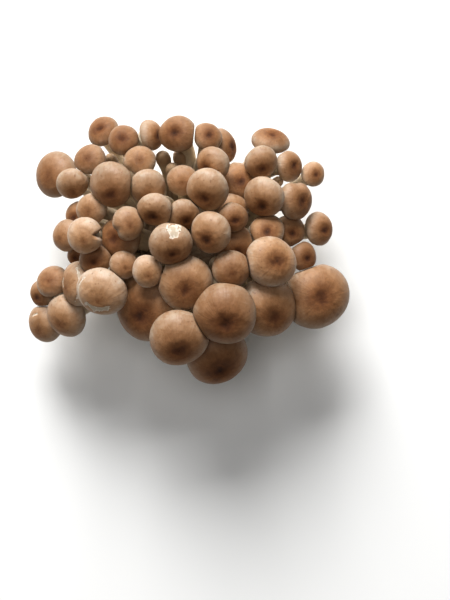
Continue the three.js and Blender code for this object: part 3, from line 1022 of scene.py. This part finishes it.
creased = Body()
share = np.linspace(0, 1, GILL_RINGS)
blade_depth = RIDGE * (0.25 + 0.9 * np.sin(math.pi * (0.15 + 0.75 * share)))  # deepest near the middle
for head in heads:
    blades = max(FEWEST_BLADES, round(2 * math.pi * BLADES_AT * head.radius / BLADE_SPACING))
    angle = turns(blades * STEPS_PER_BLADE)
    blade = np.clip(np.cos(angle * blades) + 0.25, 0, 1) ** 0.6  # blunt, and wider than the gap
    middle = max(head.radius * GILL_MIDDLE[0], head.stem_radius * GILL_CLASP)
    r_line = bowed(head.stem_radius * GILL_HOLD, middle, head.radius * GILL_REACH, share)
    z_in = head.radius * GILL_FOOT
    z_out = head.radius * GILL_TOP - GAP
    z_line = bowed(z_in, head.radius * GILL_MIDDLE[1], z_out, share)
    r = np.repeat(r_line[:, None], len(angle), 1)
    z = z_line[:, None] - head.radius * blade_depth[:, None] * blade[None, :]
    rings = soft_press(head_points(head, r, z, np.broadcast_to(angle, r.shape)), head.planes)
    first = head_points(head, 0, z_in, 0)
    last = soft_press(head_points(head, 0, z_out, 0), head.planes)
    creased.add(first, rings, last, (0, 0, 0), round_places(angle, r / 4), (0, 0, 0), 1.0)
gills = creased.piece("gill_blades", gill_material)
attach(gills, "root")
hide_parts("stems_foot_and_gills")
print("gills:", len(gills.data.polygons), "faces")

# %% [markdown]
# ## The stems
# A stem is a tube whose radius swells towards the root and flares into the gills, slightly oval and
# with shallow flutes along it. A curve object with a round bevel would be quicker to make, but rings
# can be oval and fluted. The route's few points are joined by a curve that passes through each of
# them without corners.

# %% Make the stems
STEM_SIDES = 24
STEM_RINGS = 26
STEM_SEED = 500
STEM_FLARE = 0.22
STEM_WAVER = 0.03
STEM_OVAL = 0.035
FLUTES, FLUTE_DEPTH = 7, 0.012


def smooth_route(points, count):
    """Points at even steps on a curve through the route."""
    padded = np.vstack([2 * points[0] - points[1], points, 2 * points[-1] - points[-2]])
    spans = len(points) - 1
    line = []
    for u in np.linspace(0, spans, count):
        k = min(int(u), spans - 1)
        t = u - k
        a, b, c, d = padded[k:k + 4]
        bend = (2 * a - 5 * b + 4 * c - d) * t**2 + (3 * b - a - 3 * c + d) * t**3
        line.append(0.5 * (2 * b + (c - a) * t + bend))
    return np.array(line)


def tube_rings(line, radii, angle):
    """Rings round a line, turned as little as possible from one to the next."""
    along = np.gradient(line, axis=0)
    along /= norm(along, axis=1)[:, None]
    side = np.array([1.0, 0, 0]) - along * along[:, :1]
    side /= norm(side, axis=1)[:, None]
    back = np.cross(along, side)
    outward = side[:, None, :] * np.cos(angle)[:, None] + back[:, None, :] * np.sin(angle)[:, None]
    return line[:, None, :] + radii[..., None] * outward


sheaf = Body()
angle = turns(STEM_SIDES)
rise = np.linspace(0, 1, STEM_RINGS)
# Pale at the top and dark at the root, which is partly painted shade deep in the bunch.
paler = np.clip(0.25 + rise * 1.2, 0, 1)[:, None]
for head in heads:
    line = smooth_route(head.route, STEM_RINGS)
    rng = np.random.default_rng(STEM_SEED + head.index)
    swell = STEM_SWELL + (1 - STEM_SWELL) * np.minimum(1, 2 * rise)
    swell = swell + STEM_FLARE * np.clip(rise * 4 - 3, 0, 1) ** 2
    swell = swell + STEM_WAVER * np.sin(rise * rng.uniform(6, 12) + rng.uniform(0, 6))
    flutes = 1 + STEM_OVAL * np.cos(2 * angle + rng.uniform(0, 6))
    flutes = flutes + FLUTE_DEPTH * np.cos(FLUTES * angle + rng.uniform(0, 6))
    rings = tube_rings(line, head.stem_radius * swell[:, None] * flutes, angle)
    length = np.concatenate([[0], norm(np.diff(line, axis=0), axis=1).cumsum()])
    places = round_places(angle, length[:, None] * 0.03 + head.index)
    sheaf.add(line[0], rings, line[-1], (0, 0, head.index), places, (0, 0, head.index), paler)
print(len(heads), "stems")

# %% [markdown]
# Some buds never open: they stay small between the older stems, with a round closed head. They are
# part of the same sheaf, so they join the same piece.

# %% Add the closed buds
BUDS = [
    (-9.5, 35, 36, 2.7),
    (-5.5, 30, 39, 3),
    (-3.5, 35.5, 34, 2.5),
    (-29, 34.5, 33, 2.3),
    (17, 31, 36, 2.2),
    (33, 26, 35, 2.2),
]
BUD_STEPS = [0, 0.4, 0.68, 0.76, 0.84, 0.92, 0.97, 0.995]  # shares of the way up
BUD_SHARES = [1.1, 0.85, 0.7, 0.82, 1, 0.92, 0.62, 0.22]  # of the radius there
BUD_RINGS = 30
BUD_CURVE = 200
BUD_PLACE = 60  # past the numbers of the heads, so that buds get lines of their own
# The buds sit part way along the stems' mix from the dark root, which is partly painted shade.
BUD_TONE = 0.6
BUD_BROWN_FROM = 0.78

share = np.linspace(0, 1, BUD_RINGS) ** 0.7 * BUD_STEPS[-1]  # rings lie closer near the tip
widths = np.interp(share, BUD_STEPS, BUD_SHARES)[:, None]
browned = np.clip((share[:, None] - BUD_BROWN_FROM) * 8, 0, 1)
for number, (x, y, tip, radius) in enumerate(BUDS):
    curve = np.array(growth_curve(np.array([x, y, tip], float), np.array([0, 0, 1.0]), BUD_CURVE))
    line = curve[np.round(share * BUD_CURVE).astype(int)]
    wobble = 1 + 0.04 * np.cos(2 * angle + number)
    rings = tube_rings(line, radius * widths * wobble, angle)
    places = round_places(angle, share[:, None] + BUD_PLACE + number)
    ends = (0, 0, BUD_PLACE), (0, 0, BUD_PLACE + 1)
    sheaf.add(line[0], rings, curve[-1], ends[0], places, ends[1], BUD_TONE, browned)
stems = sheaf.piece("stem_sheaf", stem_material)
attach(stems, "root")
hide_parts("stems_foot_and_gills")
print("stems:", len(stems.data.polygons), "faces")

# %% [markdown]
# ## The foot
# All stems grow out of one knot of pale mycelium, sliced off flat when the bunch was picked. It is
# lumpy, a little felted and stained by the medium it grew in. Its dark top among the stems is painted
# shade for the dark inside of the bunch. It could be sculpted, but rings on the imported outline keep
# its cut face flat and its size true.

# %% Foot material and mesh
FOOT_PROFILE = [(0.95, 0), (1, 2.5), (0.97, 7), (0.86, 12), (0.74, 19), (0.55, 26)]
FOOT_TOP = 28
FOOT_SIDES = 180
FOOT_RINGS = 46
FOOT_LUMPS = [(0.05, 3, 0.7), (0.03, 7, 0)]  # share of the radius, number round it, turn
SLICE_SHARES = (0.3, 0.6, 0.85, 0.97)  # rings on the cut underside
BIG_KNOBS = (7, 900, 0.9)  # size in mm, seed and height
SMALL_KNOBS = (2.6, 901, 0.35)
KNOB_SINK = 0.3  # mm that the knobs are set back into the foot
SHARP_EDGE = 2  # mm above the cut: the knobs fade out below it
# Painted shade: between these heights the foot's colour turns dark brown towards its top.
SHADE_FROM, SHADE_TO = 6, 20  # mm above the cut

look = Look("foot_mycelium")
felt = look.mask(MOTTLE, look.where, 700)
stain = look.mask(MOTTLE, look.where, 120)
# Tone 0 is the pale foot, 1 the painted shade on its top among the stems.
foot_colour = look.mix(look.attribute("tone", "Fac"), (0.66, 0.57, 0.44), (0.2, 0.13, 0.08))
foot_colour = look.mix(look.scaled(stain, 0.35), foot_colour, (0.42, 0.31, 0.2))
foot_colour = look.mix(look.scaled(felt, 0.2), foot_colour, (0.6, 0.5, 0.38))
look.surface({"Base Color": foot_colour, "Roughness": 0.85})
look.bump(felt, 0.0004, 0.8)


def foot_radius(angle, height):
    """Width of the foot at an angle and height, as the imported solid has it."""
    heights = [z for _, z in FOOT_PROFILE]
    share = np.interp(height, heights, [r for r, _ in FOOT_PROFILE])
    lumps = sum(size * np.sin(count * angle + turn) for size, count, turn in FOOT_LUMPS)
    return FOOT_RADIUS * share * (1 + lumps)


def foot_ring(radius, level):
    """A level ring of the foot."""
    return np.stack([radius * np.cos(angle), radius * np.sin(angle), np.full(FOOT_SIDES, level)], -1)


angle = turns(FOOT_SIDES)
foot_rings = [foot_ring(share * foot_radius(angle, 0), 0.0) for share in SLICE_SHARES]
for level in np.linspace(0, FOOT_PROFILE[-1][1], FOOT_RINGS):
    radius = foot_radius(angle, level)
    ring = foot_ring(radius, level)
    knobs = waves(ring, *BIG_KNOBS) + waves(ring, *SMALL_KNOBS) - KNOB_SINK
    ring[:, :2] *= (1 + knobs * min(1, level / SHARP_EDGE) / radius)[:, None]
    foot_rings.append(ring)
foot_body = Body()
rings = np.array(foot_rings)
# How much painted shade each ring gets, from none below 6 mm to full at 20 mm.
top_shade = np.clip((rings[:, :1, 2] - SHADE_FROM) / (SHADE_TO - SHADE_FROM), 0, 1)
foot_body.add((0, 0, 0), rings, (0, 0, FOOT_TOP), (0, 0, 0), rings, (0, 0, 0), top_shade)
foot = foot_body.piece("cut_foot", look.material)
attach(foot, "root")
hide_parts("stems_foot_and_gills")
print("foot:", len(foot.data.polygons), "faces")

# %% [markdown]
# ## The crust of growing medium
# Crumbs of dark sawdust still cling to one side of the foot. A thin uneven band with many small lumps
# on it looks like them. Copies of one crumb would look alike, so each lump is three rings of six
# corners of its own, moved at random from a fixed seed.

# %% Crust material and crumbs
CRUST_FROM, CRUST_TO = 2.6, 5.2  # radians round the foot
CRUST_LOW, CRUST_HIGH = 1.2, 5.5
CRUST_CLEAR = 0.8
CRUST_SEED = 41
BAND_STEPS = 90
BAND_SIDES = 14
BAND_LIFT = 0.8
BAND_HALF_HEIGHT = 2.6
BAND_ROUGHNESS = 0.3
BAND_TONE = 0.15
CRUMBS = 420
CRUMB_SIDES = 6
CRUMB_TILTS = (-0.75, 0.0, 0.75)
CRUMB_SIZES = (0.25, 0.85)
CRUMB_OUT = (0.1, 1.5)
CRUMB_STRETCH = (0.6, 1.3)
CRUMB_RAGGED = (0.8, 1.15)

look = Look("growing_medium")
grains = look.mask(MOTTLE, look.where, 1400)
crust_colour = look.mix(look.attribute("tone", "Fac"), (0.035, 0.022, 0.014), (0.16, 0.095, 0.052))
crust_colour = look.mix(look.scaled(grains, 0.3), crust_colour, (0.3, 0.2, 0.12))
look.surface({"Base Color": crust_colour, "Roughness": 0.92})
look.bump(grains, 0.0003, 0.8)

crust_body = Body()
rng = np.random.default_rng(CRUST_SEED)
section = turns(BAND_SIDES)
band = []
for step in range(BAND_STEPS):
    turn = CRUST_TO + (CRUST_FROM - CRUST_TO) * step / (BAND_STEPS - 1)
    edge = min(1, 6 * min(step, BAND_STEPS - 1 - step) / BAND_STEPS + 0.1)  # thin at both ends
    height = (CRUST_LOW + CRUST_HIGH) / 2 + BAND_LIFT - np.cos(section) * BAND_HALF_HEIGHT * edge
    out = (0.7 + 0.8 * np.sin(section)) * edge
    out = CRUST_CLEAR + out + BAND_ROUGHNESS * rng.random(BAND_SIDES)
    radius = foot_radius(np.full(BAND_SIDES, turn), height) + out
    band.append(np.stack([radius * math.cos(turn), radius * math.sin(turn), height], -1))
band = np.array(band)
crust_body.add(band[0].mean(0), band, band[-1].mean(0), (0, 0, 0), band, (0, 0, 0), BAND_TONE)
for _ in range(CRUMBS):
    turn = rng.uniform(CRUST_FROM - 0.05, CRUST_TO + 0.05)
    level = rng.uniform(CRUST_LOW + 0.3, CRUST_HIGH + 2.2)
    size = rng.uniform(*CRUMB_SIZES)
    radius = float(foot_radius(turn, level)) + CRUST_CLEAR + rng.uniform(*CRUMB_OUT)
    middle = np.array([radius * math.cos(turn), radius * math.sin(turn), max(level, size + 0.1)])
    lengths = rng.uniform(*CRUMB_STRETCH, 3) * size
    rows = []
    for tilt in CRUMB_TILTS:
        corner = turns(CRUMB_SIDES) + rng.uniform(0, 1)
        across = math.cos(tilt)
        high = np.full(CRUMB_SIDES, math.sin(tilt))
        ball = np.stack([np.cos(corner) * across, np.sin(corner) * across, high], -1)
        rows.append(middle + ball * lengths * rng.uniform(*CRUMB_RAGGED, (CRUMB_SIDES, 1)))
    rows = np.array(rows)
    up = np.array([0, 0, lengths[2]])
    crust_body.add(middle - up, rows, middle + up, (0, 0, 0), rows, (0, 0, 0), rng.random())
crust = crust_body.piece("medium_crumbs", look.material)
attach(crust, "root")
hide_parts("growing_medium_crust")
print("crust:", len(crust.data.polygons), "faces")

# %% [markdown]
# ## Measure and finish
# Each fine cap must sit where its packed one sits. The largest distance between the sides of their
# boxes shows that at a glance, and which cap it is.


# %% Compare each cap with its packed one
def box_shift(cap, head):
    """Largest distance between the sides of a cap's box and of its packed one, in millimetres."""
    points = np.empty(len(cap.data.vertices) * 3)
    cap.data.vertices.foreach_get("co", points)
    points = points.reshape(-1, 3)
    packed_low, packed_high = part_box(head.name)
    low_shift = np.abs(points.min(0) - np.array(packed_low)).max()
    high_shift = np.abs(points.max(0) - np.array(packed_high)).max()
    return max(low_shift, high_shift) / MM


shift, name = max((box_shift(cap, head), head.name) for cap, head in zip(caps, heads))
print("largest shift of a cap's side:", round(shift, 2), "mm on", name)

# %% [markdown]
# The dressed bunch must fill the same box as the imported one. Its size is printed.

# %% Write the sizes and finish
low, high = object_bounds()
print("the dressed cluster is", [round(s / MM, 1) for s in high - low], "mm")
